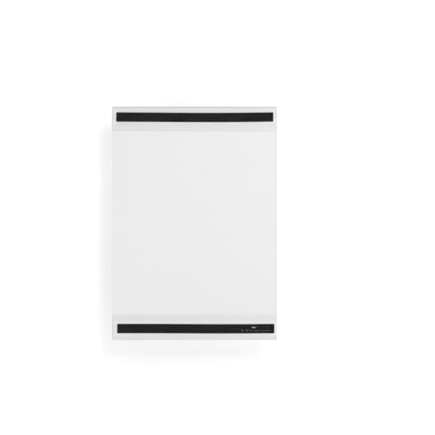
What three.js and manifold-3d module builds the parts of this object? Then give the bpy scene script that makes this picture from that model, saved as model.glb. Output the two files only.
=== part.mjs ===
// A magnetic document sleeve for one A4 sheet. Two films welded on three sides make a flat pocket that
// is open at the right. A flexible magnetic strip is stuck across the top and another across the bottom,
// each under its own clear band of film.
//
// Frame, in millimetres: +X is to the right and +Z is up as the magnet side is seen, and +Y runs through
// the sleeve from the magnet side to the reading side. The origin is on the contact plane, where the
// strips meet the steel, level with the top strip's centre line and at the sleeve's mid-width.

import * as THREE from "three";
import { mergeVertices } from "three/addons/utils/BufferGeometryUtils.js";
import Module from "manifold-3d";

const wasm = await Module();
wasm.setup();

// The sleeve's outline.
const SLEEVE_WIDTH = 220;
const SLEEVE_HEIGHT = 311;
const CORNER_RADIUS = 1.5;
const CORNER_STEPS = 6;

// The sheet that the pocket holds, A4 upright.
const INSERT_WIDTH = 210;
const INSERT_HEIGHT = 297;
const INSERT_CORNER_RADIUS = 0.5;

// The magnetic strips. Each is laid by hand, so the two sit a little differently.
const STRIP_LENGTH = 208.8;
const STRIP_WIDTH = 12;
const STRIP_CORNER_RADIUS = 0.6;
const TOP_STRIP_BELOW_EDGE = 8.3;
const TOP_STRIP_SHIFT = 0.4;
const BOTTOM_STRIP_ABOVE_EDGE = 9.1;
const BOTTOM_STRIP_SHIFT = 1.7;
const TAPE_INSET = 0.5;

// The clear bands over the strips.
const TOP_BAND_HEIGHT = 32.5;
const BOTTOM_BAND_HEIGHT = 34.5;
const BAND_CLEARANCE = 0.6;
const BAND_RUN_PER_RISE = 0.9;

// The window film stops short of the open side. Its weld line runs along the other three sides.
const WINDOW_SETBACK = 2.4;
const WELD_INSET = 1.2;
const WELD_WIDTH = 1.2;
const WELD_DEPTH = 0.1;
const WELD_RADIUS = 0.5;

// Thicknesses, and the small gaps between one layer and the next.
const BAND_FILM = 0.2;
const FACING_THICKNESS = 0.15;
const MAGNET_THICKNESS = 1;
const TAPE_THICKNESS = 0.1;
const BACK_FILM = 0.3;
const INSERT_THICKNESS = 0.25;
const WINDOW_FILM = 0.3;
const BOND_GAP = 0.02;
const POCKET_CLEARANCE = 0.1;

// Where each layer starts, counted along +Y from the contact plane.
const FACING_Y = BAND_FILM + BOND_GAP;
const MAGNET_Y = FACING_Y + FACING_THICKNESS + BOND_GAP;
const TAPE_Y = MAGNET_Y + MAGNET_THICKNESS + BOND_GAP;
const BACK_Y = TAPE_Y + TAPE_THICKNESS + BOND_GAP;
const INSERT_Y = BACK_Y + BACK_FILM + POCKET_CLEARANCE;
const WINDOW_Y = INSERT_Y + INSERT_THICKNESS + POCKET_CLEARANCE;

// Heights of the sleeve's edges and of the strips' centre lines.
const SLEEVE_TOP = TOP_STRIP_BELOW_EDGE + STRIP_WIDTH / 2;
const SLEEVE_BOTTOM = SLEEVE_TOP - SLEEVE_HEIGHT;
const SLEEVE_MIDDLE = (SLEEVE_TOP + SLEEVE_BOTTOM) / 2;
const BOTTOM_STRIP_Z = SLEEVE_BOTTOM + BOTTOM_STRIP_ABOVE_EDGE + STRIP_WIDTH / 2;

const FINISHES = {
  backing: { color: 0xe9e9ea, roughness: 0.45, metalness: 0 },
  window: { color: 0xf4f6f7, roughness: 0.15, metalness: 0, transparent: true, opacity: 0.3 },
  band: { color: 0xdfe1e3, roughness: 0.2, metalness: 0, transparent: true, opacity: 0.3 },
  facing: { color: 0x1c1c1d, roughness: 0.5, metalness: 0 },
  magnet: { color: 0x2a2724, roughness: 0.8, metalness: 0 },
  tape: { color: 0xefece2, roughness: 0.6, metalness: 0 },
  paper: { color: 0xf7f7f5, roughness: 0.9, metalness: 0 },
};

// A rectangle with round corners, centred on the origin.
function roundedRectangle(width, height, radius) {
  const x = width / 2 - radius;
  const y = height / 2 - radius;
  const shape = new THREE.Shape();
  shape.absarc(x, y, radius, 0, Math.PI / 2);
  shape.absarc(-x, y, radius, Math.PI / 2, Math.PI);
  shape.absarc(-x, -y, radius, Math.PI, 1.5 * Math.PI);
  shape.absarc(x, -y, radius, 1.5 * Math.PI, 2 * Math.PI);
  shape.closePath();
  return shape;
}

// A flat sheet facing along Y: its thickness starts at y and grows towards the reading side.
function sheet({ width, height, radius, x = 0, y, z, thickness }) {
  const options = { depth: thickness, bevelEnabled: false, curveSegments: CORNER_STEPS };
  const geometry = new THREE.ExtrudeGeometry(roundedRectangle(width, height, radius), options);
  geometry.rotateX(Math.PI / 2);
  geometry.translate(x, y + thickness, z);
  return geometry;
}

// A bar with a trapezium section in X and Y: length wide at top, and spread wider on each side at
// bottom. It is as long as depth along Z, centred.
function taperedBar(length, spread, top, bottom, depth) {
  const half = length / 2;
  const section = new THREE.Shape([
    new THREE.Vector2(-half, top),
    new THREE.Vector2(half, top),
    new THREE.Vector2(half + spread, bottom),
    new THREE.Vector2(-half - spread, bottom),
  ]);
  const geometry = new THREE.ExtrudeGeometry(section, { depth, bevelEnabled: false });
  geometry.translate(0, 0, -depth / 2);
  return geometry;
}

// A three.js geometry as a manifold-3d solid.
function toSolid(geometry) {
  const bare = new THREE.BufferGeometry();
  bare.setAttribute("position", geometry.getAttribute("position"));
  bare.setIndex(geometry.index);
  const merged = mergeVertices(bare);
  const mesh = new wasm.Mesh({
    numProp: 3,
    vertProperties: new Float32Array(merged.getAttribute("position").array),
    triVerts: new Uint32Array(merged.index.array),
  });
  return new wasm.Manifold(mesh);
}

// A manifold-3d solid as a three.js geometry.
function toGeometry(solid) {
  const mesh = solid.getMesh();
  const geometry = new THREE.BufferGeometry();
  geometry.setAttribute("position", new THREE.BufferAttribute(mesh.vertProperties, mesh.numProp));
  geometry.setIndex(new THREE.BufferAttribute(mesh.triVerts, 1));
  const faceted = geometry.toNonIndexed();
  faceted.computeVertexNormals();
  return faceted;
}

// A long low mound with four sloping sides, flat at top, made where two tapered bars cross.
function mound(x, z, top, bottom) {
  const length = STRIP_LENGTH + 2 * BAND_CLEARANCE;
  const width = STRIP_WIDTH + 2 * BAND_CLEARANCE;
  const spread = (bottom - top) * BAND_RUN_PER_RISE;
  const along = taperedBar(length, spread, top, bottom, width + 2 * spread);
  const across = taperedBar(width, spread, top, bottom, length + 2 * spread);
  across.rotateY(Math.PI / 2);
  along.translate(x, 0, z);
  across.translate(x, 0, z);
  return toSolid(along).intersect(toSolid(across));
}

// A clear band of film: welded flat to the back sheet all round, and raised over its strip.
function bandFilm(height, z, stripX, stripZ) {
  const weldedFace = BACK_Y - BOND_GAP;
  const land = sheet({
    width: SLEEVE_WIDTH,
    height,
    radius: CORNER_RADIUS,
    y: weldedFace - BAND_FILM,
    z,
    thickness: BAND_FILM,
  });
  const outside = mound(stripX, stripZ, 0, weldedFace - BAND_FILM / 2);
  const inside = mound(stripX, stripZ, BAND_FILM, weldedFace + BAND_FILM);
  return toGeometry(toSolid(land).add(outside).subtract(inside));
}

// A sheet-shaped tool that is inset from the left, top and bottom edges and runs out past the open side.
function toolInsetBy(inset, y, thickness) {
  const width = SLEEVE_WIDTH;
  const height = SLEEVE_HEIGHT - 2 * inset;
  return toSolid(sheet({ width, height, radius: WELD_RADIUS, x: inset, y, z: SLEEVE_MIDDLE, thickness }));
}

// The window film, with its weld line pressed into the reading side along the three closed sides.
function windowSheet() {
  const film = sheet({
    width: SLEEVE_WIDTH - WINDOW_SETBACK,
    height: SLEEVE_HEIGHT,
    radius: CORNER_RADIUS,
    x: -WINDOW_SETBACK / 2,
    y: WINDOW_Y,
    z: SLEEVE_MIDDLE,
    thickness: WINDOW_FILM,
  });
  const pressedY = WINDOW_Y + WINDOW_FILM - WELD_DEPTH;
  const outer = toolInsetBy(WELD_INSET, pressedY, 2 * WELD_DEPTH);
  const inner = toolInsetBy(WELD_INSET + WELD_WIDTH, pressedY - WELD_DEPTH, 4 * WELD_DEPTH);
  return toGeometry(toSolid(film).subtract(outer.subtract(inner)));
}

// The three layers of one strip, from the contact side inwards: facing, magnet and adhesive tape.
function stripLayers(place, x, z) {
  const outline = { width: STRIP_LENGTH, height: STRIP_WIDTH, radius: STRIP_CORNER_RADIUS, x, z };
  const facing = { ...outline, y: FACING_Y, thickness: FACING_THICKNESS };
  const magnet = { ...outline, y: MAGNET_Y, thickness: MAGNET_THICKNESS };
  const tape = {
    ...outline,
    width: STRIP_LENGTH - 2 * TAPE_INSET,
    height: STRIP_WIDTH - 2 * TAPE_INSET,
    y: TAPE_Y,
    thickness: TAPE_THICKNESS,
  };
  return [
    named(`${place}_strip_facing`, "facing", sheet(facing)),
    named(`${place}_magnet_strip`, "magnet", sheet(magnet)),
    named(`${place}_adhesive_tape`, "tape", sheet(tape)),
  ];
}

function backSheet() {
  return sheet({
    width: SLEEVE_WIDTH,
    height: SLEEVE_HEIGHT,
    radius: CORNER_RADIUS,
    y: BACK_Y,
    z: SLEEVE_MIDDLE,
    thickness: BACK_FILM,
  });
}

function insertSheet() {
  return sheet({
    width: INSERT_WIDTH,
    height: INSERT_HEIGHT,
    radius: INSERT_CORNER_RADIUS,
    y: INSERT_Y,
    z: SLEEVE_MIDDLE,
    thickness: INSERT_THICKNESS,
  });
}

function named(name, finish, geometry) {
  const mesh = new THREE.Mesh(geometry, new THREE.MeshStandardMaterial(FINISHES[finish]));
  mesh.name = name;
  return mesh;
}

const topBandZ = SLEEVE_TOP - TOP_BAND_HEIGHT / 2;
const bottomBandZ = SLEEVE_BOTTOM + BOTTOM_BAND_HEIGHT / 2;
const topBand = bandFilm(TOP_BAND_HEIGHT, topBandZ, TOP_STRIP_SHIFT, 0);
const bottomBand = bandFilm(BOTTOM_BAND_HEIGHT, bottomBandZ, BOTTOM_STRIP_SHIFT, BOTTOM_STRIP_Z);

const sleeve = new THREE.Group();
sleeve.add(
  named("back_sheet", "backing", backSheet()),
  named("window_sheet", "window", windowSheet()),
  named("insert_sheet", "paper", insertSheet()),
  named("top_band_film", "band", topBand),
  named("bottom_band_film", "band", bottomBand),
  ...stripLayers("top", TOP_STRIP_SHIFT, 0),
  ...stripLayers("bottom", BOTTOM_STRIP_SHIFT, BOTTOM_STRIP_Z),
);

export default sleeve;
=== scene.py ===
"""Looks of a magnetic document sleeve: an A4 pocket of film with a magnetic strip under a clear band at
its top and at its bottom. Everything is in metres, in the frame of the CAD model: +X to the right and
+Z up as the magnet side is seen, +Y through the sleeve towards its reading side."""

import functools
import math

import bpy
import numpy as np
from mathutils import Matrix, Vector


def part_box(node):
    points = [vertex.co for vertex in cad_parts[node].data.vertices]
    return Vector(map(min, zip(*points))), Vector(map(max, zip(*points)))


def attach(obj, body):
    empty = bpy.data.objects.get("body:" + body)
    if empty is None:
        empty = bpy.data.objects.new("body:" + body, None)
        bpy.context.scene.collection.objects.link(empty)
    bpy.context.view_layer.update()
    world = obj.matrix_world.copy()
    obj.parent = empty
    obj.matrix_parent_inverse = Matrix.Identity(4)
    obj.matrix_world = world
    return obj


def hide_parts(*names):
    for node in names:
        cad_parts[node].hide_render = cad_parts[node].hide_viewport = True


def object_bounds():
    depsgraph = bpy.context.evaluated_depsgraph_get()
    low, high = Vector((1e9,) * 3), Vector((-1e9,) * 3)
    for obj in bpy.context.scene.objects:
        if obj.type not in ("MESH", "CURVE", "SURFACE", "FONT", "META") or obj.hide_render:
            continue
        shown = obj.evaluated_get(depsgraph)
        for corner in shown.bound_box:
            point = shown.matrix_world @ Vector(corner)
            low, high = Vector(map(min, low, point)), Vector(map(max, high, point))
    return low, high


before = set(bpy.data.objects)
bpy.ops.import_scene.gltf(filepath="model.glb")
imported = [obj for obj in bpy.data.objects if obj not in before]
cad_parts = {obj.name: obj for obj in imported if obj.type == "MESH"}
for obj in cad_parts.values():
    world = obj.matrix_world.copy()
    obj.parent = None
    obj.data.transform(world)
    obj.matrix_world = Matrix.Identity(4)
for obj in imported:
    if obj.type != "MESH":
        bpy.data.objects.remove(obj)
cad_low, cad_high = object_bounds()

MM = 0.001
X, Y, Z = 0, 1, 2
ENDS = ("top", "bottom")


def box(node):
    """The lowest and highest corner of a CAD node, as arrays."""
    low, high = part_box(node)
    return np.array(low), np.array(high)


def span(node, axis):
    """The lowest and highest place of a CAD node along one axis."""
    low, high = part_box(node)
    return low[axis], high[axis]


# The free stretch of film between the bands.
FREE_LOW = span("bottom_band_film", Z)[1]
FREE_HIGH = span("top_band_film", Z)[0]

# Shapes that the CAD leaves plain.
SLEEVE_CORNER = 1.5 * MM
SHEET_CORNER = 0.5 * MM
STRIP_CORNER = 0.6 * MM
SAG_DEPTH = 0.8 * MM
WELD_DOWN = 2.6 * MM
WELD_UP = 4.8 * MM
WELD_LINE = 1.8 * MM
WELD_LINE_HALF = 0.6 * MM
WELD_LINE_DEPTH = 0.09 * MM
FUSED_GAP = 0.01 * MM
BAND_FILM = 0.2 * MM
BAND_CLEARANCE = 0.6 * MM
BAND_RUN = 2.0 * MM
BAND_RUN_CHANGE = 0.3 * MM
# How far the pale line below the lower band's upper edge fades, and how far the painted highlight reaches
# round each strip.
BAND_EDGE_FADE = 2.6 * MM
STRIP_HIGHLIGHT_REACH = {"top": 3.4 * MM, "bottom": 5.5 * MM}
# How wide the painted contact shade round each strip is.
RUBBER_AND_SHADE_LINE = 0.6 * MM
SEALED_LINE = 1.2 * MM
EDGE_LINE_HALF = 0.9 * MM
CUT_EDGE = 0.05 * MM
RIB_PITCH = 2.66 * MM
RIB_DEPTH = 0.06 * MM
STRIP_EDGE = 0.12 * MM
STRIP_SAGGING = {"top": 0.63 * MM, "bottom": 0.26 * MM}
STRIP_SKEW = {"top": 0.12 * MM, "bottom": 0.17 * MM}
WAVER_START = {"top": 0.4, "bottom": 1.9}

# The printed mark: where it starts from the strip's right end and lower edge, and its pieces.
INK = 0.008 * MM
RING_FROM_RIGHT = (42.5 * MM, 36.5 * MM)
RING_INNER = 0.8 * MM
RING_OUTER = 1.25 * MM
RING_BAR = (0.9 * MM, 0.35 * MM)
RING_ABOVE_RULE = 0.3 * MM
RULE_FROM_RIGHT = 33 * MM
RULE_ABOVE_EDGE = 3.6 * MM
RULE_DASHES = (3.4 * MM, 2.2 * MM, 4.6 * MM, 1.8 * MM, 3.0 * MM, 5.0 * MM, 2.4 * MM)
RULE_HEIGHT = 0.7 * MM
RULE_GAP = 1.1 * MM
BAR_FROM_RIGHT = 27 * MM
BAR_ABOVE_EDGE = 7.7 * MM
BAR_SIZE = (5 * MM, 1.3 * MM)


# ---------------------------------------------------------------- surfaces


def lines(low, high, marks=(), reach=4 * MM, fine=0.5 * MM, coarse=6 * MM):
    """Places from low to high: even coarse steps, with even fine steps within reach of each mark."""
    coarse_count = 2 + int((high - low) / coarse)
    runs = [np.linspace(low, high, coarse_count)]
    for mark in marks:
        runs.append(np.arange(mark - reach, mark + reach, fine))
    places = np.sort(np.concatenate(runs))
    places = places[(places > low + fine / 3) & (places < high - fine / 3)]
    apart = np.concatenate([[True], np.diff(places) > fine / 3])
    return np.concatenate([[low], places[apart], [high]])


def smooth_step(t):
    """0 below 0, 1 above 1, and 3t² - 2t³ between."""
    t = np.clip(t, 0, 1)
    return t * t * (3 - 2 * t)


def round_corners(x, z, radius):
    """Draws each row of a rectangular grid in so that its outline has round corners. A row at distance d
    from the nearer end is scaled in x so that its half-width is less by r - sqrt(r² - (r - d)²)."""
    middle = (x.min() + x.max()) / 2
    half = (x.max() - x.min()) / 2
    from_end = np.minimum(z - z.min(), z.max() - z)
    short = np.clip(radius - from_end, 0, radius)
    inset = radius - np.sqrt(radius**2 - short**2)
    return middle + (x - middle) * (half - inset) / half


def closed_grid(x, near, far, z):
    """Points and faces of a closed sheet. The near grid is (x, near, z) and faces -Y, the far grid is
    (x, far, z) and faces +Y, and a rim of quads joins their edges."""
    rows, columns = x.shape
    index = np.arange(rows * columns).reshape(rows, columns)
    points = np.concatenate([np.stack([x, y, z], -1).reshape(-1, 3) for y in (near, far)])
    corners = [index[:-1, :-1], index[:-1, 1:], index[1:, 1:], index[1:, :-1]]
    near_faces = np.stack(corners, -1).reshape(-1, 4)
    far_faces = near_faces[:, ::-1] + rows * columns
    edge = np.concatenate([index[0, :-1], index[:-1, -1], index[-1, :0:-1], index[:0:-1, 0]])
    after = np.roll(edge, -1)
    rim = np.stack([edge, edge + rows * columns, after + rows * columns, after], -1)
    return points, np.concatenate([near_faces, far_faces, rim])


def make_piece(name, parts, sharp_from=math.radians(30)):
    """One mesh object from a list of (points, faces), smooth apart from edges over the sharp angle."""
    points, faces, start = [], [], 0
    for part_points, part_faces in parts:
        points.append(part_points)
        faces.append(part_faces + start)
        start += len(part_points)
    mesh = bpy.data.meshes.new(name)
    mesh.from_pydata(np.concatenate(points), [], np.concatenate(faces).tolist())
    mesh.validate()
    mesh.shade_smooth()
    mesh.set_sharp_from_angle(angle=sharp_from)
    piece = bpy.data.objects.new(name, mesh)
    bpy.context.scene.collection.objects.link(piece)
    return piece


def sag(z):
    """How far the free stretch between the bands leans towards the steel: a squared sine of the height."""
    t = np.clip((z - FREE_LOW) / (FREE_HIGH - FREE_LOW), 0, 1)
    return -SAG_DEPTH * np.sin(math.pi * t) ** 2


def flat_sheet(name, node, corner):
    """A film or card that fills its node's box, and sags."""
    low, high = box(node)
    xs = lines(low[X], high[X], [low[X], high[X]], reach=3 * corner, fine=corner / 4, coarse=9 * MM)
    zs = lines(low[Z], high[Z], [low[Z], high[Z]], reach=1.2 * corner, fine=corner / 8, coarse=5 * MM)
    x, z = np.meshgrid(xs, zs)
    x = round_corners(x, z, corner)
    return make_piece(name, [closed_grid(x, low[Y] + sag(z), high[Y] + sag(z), z)])


def window_film(name):
    """The reading side's film. It rises from the back film as a smooth step of the distance d from the
    nearest closed edge, and its outer face dips by a raised cosine across the pressed weld line."""
    low, high = box("window_sheet")
    xs = lines(low[X], high[X], [low[X], high[X]], reach=6 * MM, fine=0.2 * MM, coarse=8 * MM)
    zs = lines(low[Z], high[Z], [low[Z], high[Z]], reach=6 * MM, fine=0.2 * MM, coarse=5 * MM)
    x, z = np.meshgrid(xs, zs)
    from_edge = np.minimum(x - low[X], np.minimum(z - low[Z], high[Z] - z))
    lift = smooth_step((from_edge - WELD_DOWN) / (WELD_UP - WELD_DOWN))
    welded = span("back_sheet", Y)[1] + FUSED_GAP
    near = welded + (low[Y] - welded) * lift + sag(z)
    across = np.clip(np.abs(from_edge - WELD_LINE) / WELD_LINE_HALF, 0, 1)
    dip = WELD_LINE_DEPTH * (1 + np.cos(math.pi * across)) / 2
    far = near + (high[Y] - low[Y]) - dip
    x = round_corners(x, z, SLEEVE_CORNER)
    return make_piece(name, [closed_grid(x, near, far, z)])


def strip_stray(x, end):
    """How far a hand-laid strip strays from straight along its length: up by a full sine, and down by a
    half sine less its mean, so that it is straight on average."""
    left, right = span(f"{end}_strip_facing", X)
    turn = math.pi * (x - left) / (right - left)
    return STRIP_SKEW[end] * np.sin(2 * turn) - STRIP_SAGGING[end] * (np.sin(turn) - 2 / math.pi)


def strip_layer(name, node, end, ribbed=False):
    """One layer of a strip, strayed as a whole. Its faces draw back at the long edges by a quarter
    circle, and a ribbed face has grooves that follow a raised cosine across the strip."""
    low, high = box(node)
    corner = STRIP_CORNER
    edge = min(STRIP_EDGE, (high[Y] - low[Y]) / 3)
    xs = lines(low[X], high[X], [low[X], high[X]], reach=3 * corner, fine=corner / 5, coarse=4 * MM)
    zs = lines(low[Z], high[Z], [low[Z], high[Z]], reach=1.2 * corner, fine=corner / 10, coarse=0.2 * MM)
    x, z = np.meshgrid(xs, zs)
    from_side = np.minimum(z - low[Z], high[Z] - z)
    short = np.clip(1 - from_side / edge, 0, 1)
    rounded = edge * (1 - np.sqrt(1 - short**2))
    grooves = np.zeros_like(z)
    if ribbed:
        middle = (low[Z] + high[Z]) / 2
        grooves = RIB_DEPTH * (1 - np.cos(2 * math.pi * (z - middle) / RIB_PITCH)) / 2
    near = low[Y] + np.maximum(rounded, grooves)
    far = high[Y] - rounded
    strayed = z + strip_stray(x, end)
    x = round_corners(x, z, corner)
    return make_piece(name, [closed_grid(x, near, far, strayed)])


def slow_waver(x, start):
    """A gentle uneven wave from -1 to 1 along a length: two sines of unlike period."""
    return 0.6 * np.sin(x / (17 * MM) + start) + 0.4 * np.sin(x / (41 * MM) + 2.3 * start)


def band_film(name, end):
    """The clear film over a strip. Off the strip's outline it falls from the contact plane to the back
    film as a raised cosine of the distance d over a run, and the run wavers along the strip."""
    low, high = box(f"{end}_band_film")
    strip_low, strip_high = box(f"{end}_strip_facing")
    marks_x = [low[X], high[X], strip_low[X] - MM, strip_high[X] + MM]
    marks_z = [low[Z], high[Z], strip_low[Z] - MM, strip_high[Z] + MM]
    xs = lines(low[X], high[X], marks_x, reach=3.5 * MM, fine=0.25 * MM, coarse=2.5 * MM)
    zs = lines(low[Z], high[Z], marks_z, reach=3.5 * MM, fine=0.2 * MM, coarse=MM)
    x, z = np.meshgrid(xs, zs)
    centre = (strip_low + strip_high) / 2
    half = (strip_high - strip_low) / 2 + BAND_CLEARANCE
    past_x = np.abs(x - centre[X]) - half[X]
    past_z = np.abs(z - centre[Z] - strip_stray(x, end)) - half[Z]
    distance = np.hypot(np.maximum(past_x, 0), np.maximum(past_z, 0))
    run = BAND_RUN + BAND_RUN_CHANGE * slow_waver(x + z, WAVER_START[end])
    rise = (1 + np.cos(math.pi * np.clip(distance / run, 0, 1))) / 2
    welded = high[Y] - BAND_FILM
    near = welded + (low[Y] - welded) * rise
    x = round_corners(x, z, SLEEVE_CORNER)
    return make_piece(name, [closed_grid(x, near, near + BAND_FILM, z)])


def ink_bar(centre, width, height, face):
    """A flat bar of ink with round ends, standing INK proud of the face it is printed on."""
    radius = height / 2
    left, right = centre[0] - width / 2, centre[0] + width / 2
    xs = lines(left, right, coarse=width / 4, fine=radius / 4)
    zs = np.linspace(centre[1] - radius, centre[1] + radius, 9)
    x, z = np.meshgrid(xs, zs)
    x = round_corners(x, z, radius)
    return closed_grid(x, np.full_like(x, face - INK), np.full_like(x, face - INK / 4), z)


def ink_ring(centre, inner, outer, face):
    """A flat ring of ink, as four bands swept round its centre: front, outside, back and inside."""
    turn = np.linspace(0, 2 * math.pi, 40, endpoint=False)
    radii = np.array([inner, outer, outer, inner])
    depths = face - np.array([INK, INK, INK / 4, INK / 4])
    x = centre[0] + np.outer(np.cos(turn), radii)
    z = centre[1] + np.outer(np.sin(turn), radii)
    points = np.stack([x, np.broadcast_to(depths, x.shape), z], -1).reshape(-1, 3)
    index = np.arange(len(points)).reshape(len(turn), 4)
    onward = np.roll(index, -1, axis=0)
    beside = np.roll(index, -1, axis=1)
    both = np.roll(onward, -1, axis=1)
    return points, np.stack([index, beside, both, onward], -1).reshape(-1, 4)


def imprint_line(name, strip):
    """A plain generic printed mark near the right end of a strip: two rings and a broken rule."""
    low, high = box(strip)
    rule = low[Z] + RULE_ABOVE_EDGE
    parts = []
    for from_right in RING_FROM_RIGHT:
        centre = (high[X] - from_right, rule + RING_ABOVE_RULE)
        parts.append(ink_ring(centre, RING_INNER, RING_OUTER, low[Y]))
        parts.append(ink_bar(centre, *RING_BAR, low[Y]))
    left = high[X] - RULE_FROM_RIGHT
    for length in RULE_DASHES:
        parts.append(ink_bar((left + length / 2, rule), length, RULE_HEIGHT, low[Y]))
        left += length + RULE_GAP
    return make_piece(name, parts)


def imprint_bar(name, strip):
    """A short pale bar printed above the broken rule."""
    low, high = box(strip)
    centre = (high[X] - BAR_FROM_RIGHT, low[Z] + BAR_ABOVE_EDGE)
    return make_piece(name, [ink_bar(centre, *BAR_SIZE, low[Y])])


# ---------------------------------------------------------------- materials


class Value:
    """An output in a material's nodes. Arithmetic on it adds Math nodes."""

    def __init__(self, finish, socket):
        self.finish = finish
        self.socket = socket

    def maths(self, operation, first, second=0.0):
        return self.finish.node("ShaderNodeMath", {"operation": operation}, {0: first, 1: second})

    def __add__(self, other):
        return self.maths("ADD", self, other)

    def __radd__(self, other):
        return self.maths("ADD", other, self)

    def __sub__(self, other):
        return self.maths("SUBTRACT", self, other)

    def __rsub__(self, other):
        return self.maths("SUBTRACT", other, self)

    def __mul__(self, other):
        return self.maths("MULTIPLY", self, other)

    def __rmul__(self, other):
        return self.maths("MULTIPLY", other, self)

    def __truediv__(self, other):
        return self.maths("DIVIDE", self, other)

    def __pow__(self, other):
        return self.maths("POWER", self, other)

    def __abs__(self):
        return self.maths("ABSOLUTE", self)

    def __lt__(self, other):
        return self.maths("LESS_THAN", self, other)

    def __gt__(self, other):
        return self.maths("GREATER_THAN", self, other)

    def held(self):
        """The value held between 0 and 1."""
        return self.finish.node("ShaderNodeClamp", {}, {"Value": self})

    def sine(self):
        return self.maths("SINE", self)

    def cosine(self):
        return self.maths("COSINE", self)

    def most(self, other):
        return self.maths("MAXIMUM", self, other)


class Finish:
    """A material under construction."""

    def __init__(self, name):
        self.material = bpy.data.materials.new(name)
        self.material.use_nodes = True
        self.tree = self.material.node_tree
        self.tree.nodes.clear()

    def node(self, kind, settings=None, sockets=None, output=0):
        """Adds a node, sets its settings and then its sockets' values or links, and gives one output."""
        made = self.tree.nodes.new(kind)
        for name, setting in (settings or {}).items():
            setattr(made, name, setting)
        for name, value in (sockets or {}).items():
            if isinstance(value, Value):
                self.tree.links.new(value.socket, made.inputs[name])
            else:
                made.inputs[name].default_value = value
        return Value(self, made.outputs[output])

    def place(self):
        """The piece's own coordinates, in metres, as x, y and z."""
        where = self.node("ShaderNodeTexCoord", output="Object")
        return [self.node("ShaderNodeSeparateXYZ", {}, {0: where}, output=i) for i in range(3)]

    def noise(self, size, stretch=(1, 1, 1), detail=3.0, roughness=0.55):
        """Smooth noise from 0 to 1 with features about size metres across, drawn out by stretch."""
        where = self.node("ShaderNodeTexCoord", output="Object")
        scale = tuple(1 / (size * s) for s in stretch)
        drawn = self.node("ShaderNodeMapping", {"vector_type": "POINT"}, {"Vector": where, "Scale": scale})
        wanted = {"Vector": drawn, "Scale": 1.0, "Detail": detail, "Roughness": roughness}
        return self.node("ShaderNodeTexNoise", {"noise_dimensions": "3D"}, wanted)

    def mixed(self, share, first, second):
        """A colour between two colours."""
        settings = {"data_type": "RGBA", "blend_type": "MIX"}
        return self.node("ShaderNodeMix", settings, {0: share, 6: first, 7: second}, output=2)

    def bump(self, height, distance, strength=1.0):
        sockets = {"Height": height, "Distance": distance, "Strength": strength}
        return self.node("ShaderNodeBump", {}, sockets)

    def principled(self, **sockets):
        named = {name.replace("_", " "): value for name, value in sockets.items()}
        return self.node("ShaderNodeBsdfPrincipled", {}, named)

    def done(self, shader):
        surface = self.tree.nodes.new("ShaderNodeOutputMaterial").inputs["Surface"]
        self.tree.links.new(shader.socket, surface)
        return self.material


def grey(value, warmth=0.0):
    """An opaque grey as a linear colour, a little warm or cool."""
    return (value * (1 + warmth), value, value * (1 - warmth), 1.0)


def most_of(*values):
    """The greatest of several values."""
    return functools.reduce(Value.most, values)


def line_mask(position, at, half_width):
    """1 on a line and 0 past half_width from it, with straight sides."""
    return (1 - abs(position - at) / half_width).held()


def above_strip_line(x, z, end):
    """Height above a strip's strayed centre line, by the formula of strip_stray."""
    left, right = span(f"{end}_strip_facing", X)
    low, high = span(f"{end}_strip_facing", Z)
    sagging = STRIP_SAGGING[end]
    turn = (x - left) * (math.pi / (right - left))
    strayed = STRIP_SKEW[end] * (2 * turn).sine() - sagging * turn.sine() + sagging * 2 / math.pi
    return z - (low + high) / 2 - strayed


def outside_strip(x, z, end):
    """Distance outside a strip's outline, and 0 under it."""
    left, right = span(f"{end}_strip_facing", X)
    low, high = span(f"{end}_strip_facing", Z)
    past_end = abs(x - (left + right) / 2) - (right - left) / 2
    past_side = abs(above_strip_line(x, z, end)) - (high - low) / 2
    return most_of(past_end, past_side, 0.0)


def on_strip_side(y, z):
    """1 on the back film's near face and 0 on its far face, allowing for the sag."""
    low, high = span("back_sheet", Y)
    swell = (((z - FREE_LOW) / (FREE_HIGH - FREE_LOW)).held() * math.pi).sine()
    return y + SAG_DEPTH * swell * swell < (low + high) / 2


def pale_line_and_strip_highlight(x, z):
    """How much paler the film is painted: a pale line at the lower band's upper edge that fades out
    downwards, and a painted highlight round each strip that fades out over its reach and lifts the shade
    beside it."""
    # A pale line below the lower band's upper edge, and a painted highlight round each strip.
    seal_line = (1 - (FREE_LOW - z) / BAND_EDGE_FADE).held() * (z < FREE_LOW)
    strip_highlight = [0.85 * (1 - outside_strip(x, z, end) / STRIP_HIGHLIGHT_REACH[end]).held() for end in ENDS]
    return most_of(0.13 * seal_line, *strip_highlight)


def rubber_and_contact_shade_line(x, z):
    """A dark line painted close round each strip: painted contact shade, and the magnet's rubber at its
    side.
    """
    return most_of(*[(1 - outside_strip(x, z, end) / RUBBER_AND_SHADE_LINE).held() for end in ENDS])


def cut_edges(x, z):
    """1 at the back film's cut edges and 0 a hair inside them."""
    sides = [line_mask(x, at, CUT_EDGE) for at in span("back_sheet", X)]
    ends = [line_mask(z, at, CUT_EDGE) for at in span("back_sheet", Z)]
    return most_of(*sides, *ends)


def strip_side_lines_and_shade(x, z):
    """How much darker the near face is: a sealed line along the top, a painted line at the right where the
    window film's edge shows through, and painted shade growing to the left under the bands."""
    left, right = span("back_sheet", X)
    sealed = line_mask(z, span("back_sheet", Z)[1] - SEALED_LINE, EDGE_LINE_HALF)
    # A painted line where the window film's edge shows through.
    shown_through = line_mask(x, span("window_sheet", X)[1], EDGE_LINE_HALF)
    under_band = (z < FREE_LOW).most(z > FREE_HIGH)
    leftward = (right - x) / (right - left)
    # The last term is painted shade, growing to the left under the bands.
    return most_of(0.42 * sealed, 0.16 * shown_through, 0.09 * under_band * leftward)


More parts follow.
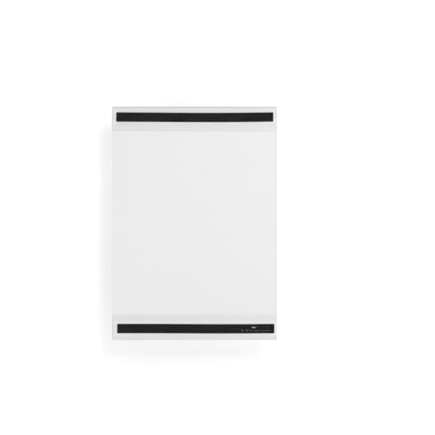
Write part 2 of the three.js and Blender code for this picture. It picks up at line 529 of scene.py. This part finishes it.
def frosted_film():
    """Matt light grey film, with painted shade inside the pocket: faint drawn-out streaks from the roller,
    a fine grain that breaks up the sheen, and the painted highlight, painted shade, lines and edges that
    the functions above give."""
    finish = Finish("frosted film")
    x, y, z = finish.place()
    streaks = finish.noise(5 * MM, stretch=(1, 1, 40), detail=2.0)
    clouds = finish.noise(45 * MM, detail=2.0)
    grain = finish.noise(0.35 * MM, detail=2.0)
    strip_side = on_strip_side(y, z)
    plain = finish.mixed(0.5 * clouds + 0.5 * streaks, grey(0.708), grey(0.723))
    # Painted highlight round the strips, weaker on the far face, and the pale line below the lower band's
    # edge.
    paler = finish.mixed(pale_line_and_strip_highlight(x, z) * (0.3 + 0.7 * strip_side), plain, grey(0.95))
    # Painted shade on the far face, inside the pocket.
    pocket_shade = 0.2 * (1 - strip_side)
    marks = most_of(strip_side_lines_and_shade(x, z) * strip_side, pocket_shade, 0.8 * cut_edges(x, z))
    lined = finish.mixed(marks, paler, grey(0.45))
    # Painted contact shade, dark as rubber, close round each strip on the near face.
    colour = finish.mixed(rubber_and_contact_shade_line(x, z) * strip_side, lined, grey(0.02))
    shader = finish.principled(
        Base_Color=colour,
        Roughness=0.46 + 0.1 * grain,
        Specular_IOR_Level=0.3,
        Normal=finish.bump(grain, 0.03 * MM),
    )
    return finish.done(shader)


def clear_film(name, tint, haze, mirror, graze, seals):
    """Clear film: it lets most light through with a slight tint, and is hazy along its seals, which are
    (axis, place, half width, strength). It mirrors a little straight on and more towards grazing, by
    Schlick's formula: mirror + graze (1 - cosine)^5."""
    finish = Finish(name)
    place = finish.place()
    scuffs = finish.noise(1.6 * MM, stretch=(6, 1, 1), detail=4.0, roughness=0.7)
    ripple = finish.noise(26 * MM, stretch=(1.6, 1, 1), detail=1.0)
    share = haze + haze * scuffs
    for axis, at, half_width, strength in seals:
        share = share.most(strength * line_mask(place[axis], at, half_width))
    milky = finish.principled(
        Base_Color=finish.mixed(scuffs, grey(0.42), grey(0.5)),
        Roughness=0.3 + 0.2 * scuffs,
    )
    through = finish.node("ShaderNodeBsdfTransparent", {}, {"Color": grey(tint)})
    film = finish.node("ShaderNodeMixShader", {}, {0: share.held(), 1: through, 2: milky})
    facing = finish.node("ShaderNodeLayerWeight", {}, {"Blend": 0.5}, output="Facing")
    shine = finish.principled(
        Base_Color=grey(0.95),
        Metallic=1.0,
        Roughness=0.08 + 0.12 * scuffs,
        Normal=finish.bump(ripple, 0.5 * MM),
    )
    reflected = (mirror + graze * facing**5).held()
    return finish.done(finish.node("ShaderNodeMixShader", {}, {0: reflected, 1: film, 2: shine}))


def black_vinyl(name, end):
    """Black vinyl: paler along its ridges, with streaks along the strip, a fine leathery grain and a
    little pale dust. The ridges are a raised cosine across the strip and stray as it does."""
    finish = Finish(name)
    x, _, z = finish.place()
    streaks = finish.noise(1.1 * MM, stretch=(30, 1, 1), detail=3.0)
    grain = finish.noise(0.25 * MM, detail=2.0)
    dust = finish.noise(3 * MM, stretch=(3, 1, 1), detail=4.0, roughness=0.7)
    across = above_strip_line(x, z, end) * (2 * math.pi / RIB_PITCH)
    ridge = 0.5 + 0.5 * across.cosine()
    # Paler along the ridges, and where the dust lies.
    ridges_and_dust = 0.75 * ridge**1.6 * (0.4 + streaks) + 0.6 * (dust - 0.55).held()
    shader = finish.principled(
        Base_Color=finish.mixed(ridges_and_dust.held(), grey(0.0003), grey(0.038)),
        Roughness=0.5 + 0.2 * streaks,
        Specular_IOR_Level=0.07,
        Normal=finish.bump(grain + streaks, 0.03 * MM),
    )
    return finish.done(shader)


def magnet_rubber():
    """Ferrite-filled rubber: brown-black, dull, with lighter specks of filler at the cut sides."""
    finish = Finish("magnet rubber")
    specks = finish.noise(0.3 * MM, detail=3.0, roughness=0.7)
    lumps = finish.noise(2.5 * MM, detail=2.0)
    colour = finish.mixed(((specks - 0.5) * 2).held(), grey(0.016, 0.12), grey(0.05, 0.15))
    shader = finish.principled(
        Base_Color=colour,
        Roughness=0.72 + 0.15 * lumps,
        Specular_IOR_Level=0.25,
        Normal=finish.bump(specks + lumps, 0.06 * MM),
    )
    return finish.done(shader)


def adhesive():
    """Double-sided tape: off-white acrylic with small trapped bubbles."""
    finish = Finish("adhesive tape")
    bubbles = finish.noise(0.9 * MM, detail=2.0)
    colour = finish.mixed(bubbles, grey(0.62, 0.05), grey(0.74, 0.07))
    shader = finish.principled(
        Base_Color=colour,
        Roughness=0.45 + 0.25 * bubbles,
        Normal=finish.bump(bubbles, 0.03 * MM),
    )
    return finish.done(shader)


def blank_card():
    """Uncoated white card: fine crossing fibres and a faint cloudiness."""
    finish = Finish("blank card")
    fibres_up = finish.noise(0.35 * MM, stretch=(1, 1, 7), detail=3.0, roughness=0.65)
    fibres_over = finish.noise(0.35 * MM, stretch=(7, 1, 1), detail=3.0, roughness=0.65)
    clouds = finish.noise(12 * MM, detail=3.0)
    fibres = (fibres_up + fibres_over) * 0.5
    colour = finish.mixed(0.6 * fibres + 0.4 * clouds, grey(0.76, 0.004), grey(0.82, 0.006))
    shader = finish.principled(
        Base_Color=colour,
        Roughness=0.85 + 0.1 * fibres,
        Specular_IOR_Level=0.25,
        Normal=finish.bump(fibres, 0.05 * MM),
    )
    return finish.done(shader)


def thin_ink(name, tone):
    """Thin grey ink with slightly uneven cover."""
    finish = Finish(name)
    cover = finish.noise(0.4 * MM, detail=3.0)
    shader = finish.principled(
        Base_Color=finish.mixed(cover, grey(0.6 * tone), grey(1.4 * tone)),
        Roughness=0.5 + 0.2 * cover,
        Specular_IOR_Level=0.2,
    )
    return finish.done(shader)


# ---------------------------------------------------------------- the sleeve


def dress(piece, material, body, slot, *nodes):
    """Gives a piece its material and the body it rides on, and hides the nodes it replaces; slot is not
    used.
    """
    piece.data.materials.append(material)
    if nodes:
        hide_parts(*nodes)
    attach(piece, body)


def band_seals(end):
    """The hazy lines of a band film: its left edge, and on the top one its lower edge and sealed line."""
    left = span(f"{end}_band_film", X)[0]
    if end == "bottom":
        return [(X, left, EDGE_LINE_HALF, 0.06)]
    low, high = span(f"{end}_band_film", Z)
    return [
        (X, left, EDGE_LINE_HALF, 0.08),
        (Z, low, 1.0 * MM, 0.06),
        (Z, high - SEALED_LINE, EDGE_LINE_HALF, 0.16),
    ]


def window_welds():
    """The hazy lines of the window film: its three pressed welds."""
    left = span("window_sheet", X)[0]
    low, high = span("window_sheet", Z)
    return [
        (X, left + WELD_LINE, EDGE_LINE_HALF, 0.4),
        (Z, low + WELD_LINE, EDGE_LINE_HALF, 0.4),
        (Z, high - WELD_LINE, EDGE_LINE_HALF, 0.4),
    ]


back = flat_sheet("back_film", "back_sheet", SLEEVE_CORNER)
dress(back, frosted_film(), "sleeve", "backing_film", "back_sheet")
window_finish = clear_film("clear window film", 0.99, 0.01, 0.04, 0.9, window_welds())
dress(window_film("window_film"), window_finish, "sleeve", "window_film", "window_sheet")
card = flat_sheet("blank_insert", "insert_sheet", SHEET_CORNER)
dress(card, blank_card(), "insert", "paper", "insert_sheet")

rubber = magnet_rubber()
tape = adhesive()
for end in ENDS:
    band_finish = clear_film(f"clear {end} band film", 0.987, 0.002, 0.0, 0.4, band_seals(end))
    band = band_film(f"{end}_clear_band", end)
    dress(band, band_finish, "sleeve", "band_film", f"{end}_band_film")
    facing = strip_layer(f"{end}_ribbed_facing", f"{end}_strip_facing", end, ribbed=True)
    vinyl = black_vinyl(f"{end} black vinyl", end)
    dress(facing, vinyl, "sleeve", "strip_facing", f"{end}_strip_facing")
    magnet = strip_layer(f"{end}_magnet_core", f"{end}_magnet_strip", end)
    dress(magnet, rubber, "sleeve", "magnet_rubber", f"{end}_magnet_strip")
    tape_layer = strip_layer(f"{end}_tape_layer", f"{end}_adhesive_tape", end)
    dress(tape_layer, tape, "sleeve", "adhesive_tape", f"{end}_adhesive_tape")

IMPRINTED = "bottom_strip_facing"
mark = imprint_line("imprint_line", IMPRINTED)
dress(mark, thin_ink("grey ink", 0.13), "sleeve", "strip_facing")
bar = imprint_bar("imprint_bar", IMPRINTED)
dress(bar, thin_ink("pale grey ink", 0.38), "sleeve", "strip_facing")


# ---------------------------------------------------------------- studio

OBJECT_MIDDLE = (Vector(cad_low) + Vector(cad_high)) / 2
VIEW_WIDTH = 579.4 * MM
FRAME_RIGHT_OF_OBJECT = 30.7 * MM
FRAME_ABOVE_OBJECT = 7.75 * MM
LENS_MM = 100.0
SENSOR_MM = 36.0
FLOOR_BELOW = 40 * MM
FLOOR_SIZE = 8.0
BACKDROP_BEHIND = 50 * MM
BACKDROP_HALF_WIDTH = 450 * MM
BACKDROP_RISE = 400 * MM
BACKDROP_FADE = 130 * MM
BACKDROP_GLOW = 0.065
SEEN_WHITE = 1.0
ROOM_WHITE = 0.55


def add_camera():
    """A long lens square on to the sleeve, aimed a little right of and above its middle."""
    data = bpy.data.cameras.new("camera")
    data.lens = LENS_MM
    data.sensor_width = SENSOR_MM
    data.clip_start = 0.01
    camera = bpy.data.objects.new("camera", data)
    bpy.context.scene.collection.objects.link(camera)
    distance = VIEW_WIDTH * LENS_MM / SENSOR_MM
    aim = OBJECT_MIDDLE + Vector((FRAME_RIGHT_OF_OBJECT, 0, FRAME_ABOVE_OBJECT))
    camera.location = aim + Vector((0, -distance, 0))
    camera.rotation_euler = (math.pi / 2, 0, 0)
    bpy.context.scene.camera = camera


def add_light(name, kind, offset, power, **settings):
    """A soft light at an offset from the sleeve's middle, turned to face it."""
    data = bpy.data.lights.new(name, kind)
    data.energy = power
    for setting, value in settings.items():
        setattr(data, setting, value)
    light = bpy.data.objects.new(name, data)
    bpy.context.scene.collection.objects.link(light)
    light.location = OBJECT_MIDDLE + Vector(offset)
    light.rotation_euler = (-Vector(offset)).to_track_quat("-Z", "Y").to_euler()


def add_stage(name, corners, material):
    """One flat stage sheet between four corners."""
    mesh = bpy.data.meshes.new(name)
    mesh.from_pydata(corners, [], [(0, 1, 2, 3)])
    mesh.materials.append(material)
    sheet = bpy.data.objects.new(name, mesh)
    bpy.context.scene.collection.objects.link(sheet)
    return sheet


def pale_paper(finish, **glow):
    """Pale matt paper, slightly cloudy, with any painted glow given to it as emission."""
    clouds = finish.noise(0.4, detail=2.0)
    return finish.principled(
        Base_Color=finish.mixed(clouds, grey(0.94), grey(0.96)),
        Roughness=0.9,
        Specular_IOR_Level=0.1,
        **glow,
    )


def backdrop_paper(side, top):
    """Pale paper with a painted glow that grows with height, standing in for light from above. It is clear
    from behind, and fades out over BACKDROP_FADE towards its left, right and upper edges."""
    finish = Finish("backdrop paper")
    x, _, z = finish.place()
    risen = ((z - cad_low[Z]) / (cad_high[Z] - cad_low[Z])).held()
    # Painted light: the glow grows from a quarter at the sleeve's foot to full at its top.
    glow_colour = finish.mixed(risen, grey(0.25), grey(1.0))
    paper = pale_paper(finish, Emission_Color=glow_colour, Emission_Strength=BACKDROP_GLOW)
    faded = (abs(x) - (side - BACKDROP_FADE)).most(z - (top - BACKDROP_FADE)) / BACKDROP_FADE
    behind = finish.node("ShaderNodeNewGeometry", output="Backfacing")
    clear = finish.node("ShaderNodeBsdfTransparent")
    gone = faded.held().most(behind)
    return finish.done(finish.node("ShaderNodeMixShader", {}, {0: gone, 1: paper, 2: clear}))


def add_floor():
    """A pale floor below the sleeve."""
    half = FLOOR_SIZE / 2
    z = cad_low[Z] - FLOOR_BELOW
    corners = [(-half, -half, z), (half, -half, z), (half, half, z), (-half, half, z)]
    finish = Finish("floor paper")
    add_stage("studio_floor", corners, finish.done(pale_paper(finish)))


def add_backdrop():
    """A pale backdrop behind the sleeve. It takes the sleeve's soft shadow, shows only from its front,
    and neither lights nor shades the sleeve."""
    half = BACKDROP_HALF_WIDTH
    y = cad_high[Y] + BACKDROP_BEHIND
    low = cad_low[Z] - FLOOR_BELOW
    high = OBJECT_MIDDLE.z + BACKDROP_RISE
    corners = [(-half, y, low), (half, y, low), (half, y, high), (-half, y, high)]
    backdrop = add_stage("studio_backdrop", corners, backdrop_paper(half, high))
    backdrop.visible_diffuse = False
    backdrop.visible_glossy = False
    backdrop.visible_transmission = False
    backdrop.visible_shadow = False


def add_world():
    """White all round: full white where it is seen straight on, and softer as a light."""
    world = bpy.data.worlds.new("studio")
    world.use_nodes = True
    nodes, links = world.node_tree.nodes, world.node_tree.links
    seen = nodes.new("ShaderNodeLightPath").outputs["Is Camera Ray"]
    strength = nodes.new("ShaderNodeMapRange")
    strength.inputs["To Min"].default_value = ROOM_WHITE
    strength.inputs["To Max"].default_value = SEEN_WHITE
    background = nodes["Background"]
    background.inputs["Color"].default_value = (1, 1, 1, 1)
    links.new(seen, strength.inputs["Value"])
    links.new(strength.outputs["Result"], background.inputs["Strength"])
    bpy.context.scene.world = world


add_camera()
add_light("key_light", "AREA", offset=(0.46, -1.25, 0.66), power=5.0, shape="SQUARE", size=0.45)
add_light("fill_light", "AREA", offset=(1.6, -0.9, -0.05), power=4.7, shape="SQUARE", size=1.0)
add_light("back_light", "AREA", offset=(-0.7, 1.1, 0.7), power=7.0, shape="SQUARE", size=0.8)
add_light("overhead_light", "SUN", offset=(0.15, -0.1, 2.0), power=1.7, angle=math.radians(50))
add_floor()
add_backdrop()
add_world()
bpy.context.scene.view_settings.view_transform = "Standard"
